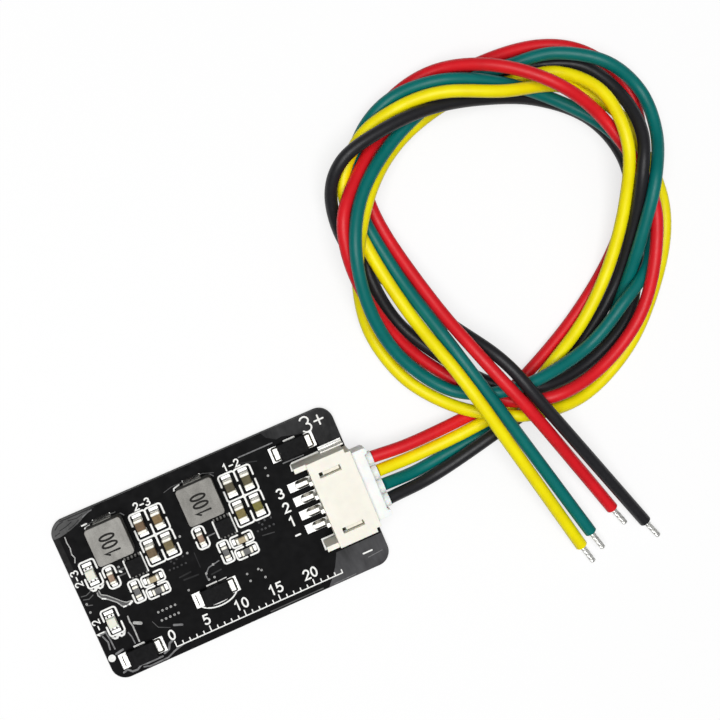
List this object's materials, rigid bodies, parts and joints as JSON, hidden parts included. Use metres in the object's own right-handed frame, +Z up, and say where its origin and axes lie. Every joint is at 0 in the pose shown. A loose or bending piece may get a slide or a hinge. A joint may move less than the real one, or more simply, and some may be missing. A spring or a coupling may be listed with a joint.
{
  "type": "active balancer board",
  "caption": "Small black circuit board that balances battery cells, with power inductors, chip parts, status lamps, a side-entry header and a plugged-in lead of coloured wires.",
  "frame": {"origin": "middle of the board's underside, on the surface it lies on", "axes": "+X along the board towards the header and its plug, +Y across the board towards the inductors, +Z up off the board"},
  "size_m": [0.0955, 0.0711, 0.0094],
  "materials": {
    "solder_mask": "satin black solder mask",
    "tinned_copper": "tinned copper",
    "solder": "bright solder",
    "tinned_metal": "tinned metal",
    "inductor_grey": "matt moulded iron powder",
    "ceramic_brown": "fired ceramic",
    "ceramic_red": "fired ceramic",
    "ceramic_tan": "fired ceramic",
    "resistor_grey": "glazed",
    "mould_black": "matt moulding",
    "lamp_white": "white carrier",
    "lamp_clear": "clear resin",
    "header_cream": "moulded nylon",
    "plug_white": "milky moulded nylon",
    "wire_red": "silky silicone",
    "wire_yellow": "silky silicone",
    "wire_green": "silky silicone",
    "wire_black": "silky silicone"
  },
  "bodies": {
    "root": {"pcb_board": "solder_mask", "copper_pads": "tinned_copper", "solder_fillets": "solder", "inductor_core_1": "inductor_grey", "inductor_terminals_1": "tinned_metal", "inductor_core_2": "inductor_grey", "inductor_terminals_2": "tinned_metal", "capacitor_1": "ceramic_brown", "capacitor_2": "ceramic_brown", "capacitor_3": "ceramic_brown", "capacitor_4": "ceramic_brown", "capacitor_ends_1": "tinned_metal", "capacitor_5": "ceramic_brown", "capacitor_6": "ceramic_brown", "capacitor_7": "ceramic_brown", "capacitor_8": "ceramic_brown", "capacitor_ends_2": "tinned_metal", "input_capacitor_1": "ceramic_red", "filter_capacitor_1": "ceramic_tan", "set_resistor_1": "resistor_grey", "sense_resistor_1": "resistor_grey", "chip_ends_1": "tinned_metal", "input_capacitor_2": "ceramic_red", "filter_capacitor_2": "ceramic_tan", "set_resistor_2": "resistor_grey", "sense_resistor_2": "resistor_grey", "chip_ends_2": "tinned_metal", "controller_1": "mould_black", "controller_pins_1": "tinned_metal", "controller_2": "mould_black", "controller_pins_2": "tinned_metal", "diode_1": "mould_black", "diode_leads_1": "tinned_metal", "diode_2": "mould_black", "diode_leads_2": "tinned_metal", "diode_3": "mould_black", "diode_leads_3": "tinned_metal", "lamp_base_1": "lamp_white", "lamp_top_1": "lamp_clear", "lamp_ends_1": "tinned_metal", "lamp_base_2": "lamp_white", "lamp_top_2": "lamp_clear", "lamp_ends_2": "tinned_metal", "header_housing": "header_cream", "header_pins": "tinned_metal", "header_tabs": "tinned_metal", "plug_housing": "plug_white", "plug_contacts": "tinned_metal", "wire_red": "wire_red", "wire_yellow": "wire_yellow", "wire_green": "wire_green", "wire_black": "wire_black", "wire_tip_red": "tinned_metal", "wire_tip_yellow": "tinned_metal", "wire_tip_green": "tinned_metal", "wire_tip_black": "tinned_metal"}
  },
  "joints": []
}
